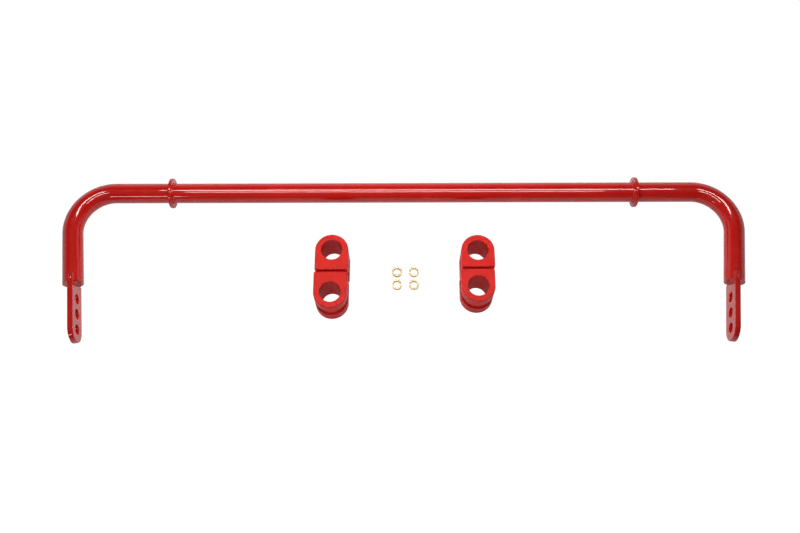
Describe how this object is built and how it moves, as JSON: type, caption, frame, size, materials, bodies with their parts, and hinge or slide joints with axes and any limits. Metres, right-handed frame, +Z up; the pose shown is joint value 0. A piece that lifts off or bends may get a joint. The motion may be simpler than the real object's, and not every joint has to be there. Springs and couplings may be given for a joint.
{
  "type": "sway bar kit",
  "caption": "Bent tubular sway bar with drilled end lugs and locating collars, with loose split D-bushings and reducer sleeves laid out beside it.",
  "frame": {"origin": "centre of the bounding box on the bench surface", "axes": "+X along the bar, -Y the way the arms point, +Z up from the bench"},
  "size_m": [0.9748, 0.2472, 0.05],
  "materials": {
    "gloss_red_powder_coat": "deep gloss powder coat over steel",
    "red_polyurethane": "satin moulded polyurethane",
    "yellow_zinc": "bright yellow zinc plating"
  },
  "bodies": {
    "bar": {"bar_tube": "gloss_red_powder_coat", "end_cap_left": "gloss_red_powder_coat", "end_cap_right": "gloss_red_powder_coat", "lug_left": "gloss_red_powder_coat", "lug_right": "gloss_red_powder_coat", "lug_weld_left": "gloss_red_powder_coat", "lug_weld_right": "gloss_red_powder_coat", "collar_left": "gloss_red_powder_coat", "collar_right": "gloss_red_powder_coat", "collar_weld_left": "gloss_red_powder_coat", "collar_weld_right": "gloss_red_powder_coat"},
    "bushing_left_far_body": {"bushing_left_far": "red_polyurethane"},
    "bushing_left_near_body": {"bushing_left_near": "red_polyurethane"},
    "bushing_right_far_body": {"bushing_right_far": "red_polyurethane"},
    "bushing_right_near_body": {"bushing_right_near": "red_polyurethane"},
    "sleeve_left_far_body": {"sleeve_left_far": "yellow_zinc"},
    "sleeve_left_near_body": {"sleeve_left_near": "yellow_zinc"},
    "sleeve_right_far_body": {"sleeve_right_far": "yellow_zinc"},
    "sleeve_right_near_body": {"sleeve_right_near": "yellow_zinc"}
  },
  "joints": [
    {"name": "bushing_left_far_lift", "type": "slide", "parent": "bar", "child": "bushing_left_far_body", "axis": [0, 0, 1], "range_m": [0, 0.08]},
    {"name": "bushing_left_near_lift", "type": "slide", "parent": "bar", "child": "bushing_left_near_body", "axis": [0, 0, 1], "range_m": [0, 0.08]},
    {"name": "bushing_right_far_lift", "type": "slide", "parent": "bar", "child": "bushing_right_far_body", "axis": [0, 0, 1], "range_m": [0, 0.08]},
    {"name": "bushing_right_near_lift", "type": "slide", "parent": "bar", "child": "bushing_right_near_body", "axis": [0, 0, 1], "range_m": [0, 0.08]},
    {"name": "sleeve_left_far_lift", "type": "slide", "parent": "bar", "child": "sleeve_left_far_body", "axis": [0, 0, 1], "range_m": [0, 0.08]},
    {"name": "sleeve_left_near_lift", "type": "slide", "parent": "bar", "child": "sleeve_left_near_body", "axis": [0, 0, 1], "range_m": [0, 0.08]},
    {"name": "sleeve_right_far_lift", "type": "slide", "parent": "bar", "child": "sleeve_right_far_body", "axis": [0, 0, 1], "range_m": [0, 0.08]},
    {"name": "sleeve_right_near_lift", "type": "slide", "parent": "bar", "child": "sleeve_right_near_body", "axis": [0, 0, 1], "range_m": [0, 0.08]}
  ]
}
